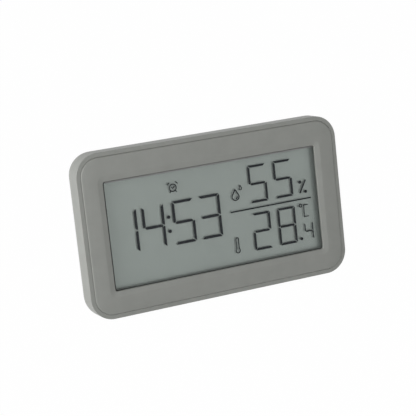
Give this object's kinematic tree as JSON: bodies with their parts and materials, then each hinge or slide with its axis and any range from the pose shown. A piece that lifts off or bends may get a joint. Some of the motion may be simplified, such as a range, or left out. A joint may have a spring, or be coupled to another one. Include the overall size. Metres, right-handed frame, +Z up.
{
  "type": "thermometer hygrometer clock",
  "caption": "Table clock with a grey plastic case, a display for time, humidity and temperature, a fold-out rear stand, buttons and a coin-cell door.",
  "frame": {"origin": "centre of the standing clock's box at table level", "axes": "+X to the viewer's right, +Y to the rear, +Z up, with the clock standing on its feet and open stand"},
  "size_m": [0.105, 0.0316, 0.061],
  "materials": {
    "case_plastic": "fine matt moulded grey",
    "button_plastic": "fine matt moulded darker grey",
    "gasket_foam": "matt black foam",
    "film": "clear matt film",
    "glass": "clear sheet",
    "ink": "dark display segments",
    "seal": "grey adhesive",
    "reflector": "matt greenish grey reflector",
    "guide_plastic": "clear light guide",
    "zebra_rubber": "striped grey silicone",
    "chassis_plastic": "natural white",
    "board": "green solder mask",
    "resin": "black epoxy",
    "can": "nickel plated can",
    "sensor_plastic": "white",
    "dark_plastic": "black",
    "ceramic": "tan ceramic",
    "cell_steel": "polished nickel plated steel",
    "contact_steel": "nickel plated spring sheet",
    "pin_steel": "bright drawn steel",
    "screw_steel": "zinc plated",
    "pad_rubber": "matt black"
  },
  "bodies": {
    "case": {"front_bezel": "case_plastic", "rear_shell": "case_plastic", "lcd_gasket": "gasket_foam", "lcd_polarizer": "film", "lcd_front_glass": "glass", "lcd_segments": "ink", "lcd_seal": "seal", "lcd_rear_glass": "glass", "lcd_reflector": "reflector", "light_guide": "guide_plastic", "zebra_strip": "zebra_rubber", "chassis": "chassis_plastic", "main_board": "board", "controller_blob": "resin", "clock_crystal": "can", "humidity_sensor": "sensor_plastic", "thermistor": "resin", "buzzer": "dark_plastic", "chip_components": "ceramic", "coin_cell": "cell_steel", "cell_holder": "dark_plastic", "positive_contact": "contact_steel", "negative_contact": "contact_steel", "stand_pin": "pin_steel", "base_feet": "pad_rubber", "case_screws": "screw_steel", "chassis_screws": "screw_steel", "set_switch": "dark_plastic", "up_switch": "dark_plastic", "down_switch": "dark_plastic"},
    "stand": {"stand_leg": "case_plastic", "stand_pad": "pad_rubber"},
    "set_button": {"set_button": "button_plastic", "set_plunger": "button_plastic"},
    "up_button": {"up_button": "button_plastic", "up_plunger": "button_plastic"},
    "down_button": {"down_button": "button_plastic", "down_plunger": "button_plastic"},
    "battery_door": {"battery_door": "case_plastic"}
  },
  "joints": [
    {"name": "stand_hinge", "type": "hinge", "parent": "case", "child": "stand", "pos_m": [0, 0.00521, 0.03647], "axis": [1, 0, 0], "range_deg": [-30, 0]},
    {"name": "battery_door_turn", "type": "hinge", "parent": "case", "child": "battery_door", "pos_m": [0.0305, 0.00585, 0.03116], "axis": [0, 0.9703, -0.2419], "range_deg": [0, 40]},
    {"name": "set_button_press", "type": "slide", "parent": "case", "child": "set_button", "axis": [0, -0.9703, 0.2419], "range_m": [0, 0.0003], "stiffness_N_per_m": 2000, "springref_m": -0.00025},
    {"name": "up_button_press", "type": "slide", "parent": "case", "child": "up_button", "axis": [0, -0.9703, 0.2419], "range_m": [0, 0.0003], "stiffness_N_per_m": 2000, "springref_m": -0.00025},
    {"name": "down_button_press", "type": "slide", "parent": "case", "child": "down_button", "axis": [0, -0.9703, 0.2419], "range_m": [0, 0.0003], "stiffness_N_per_m": 2000, "springref_m": -0.00025}
  ]
}
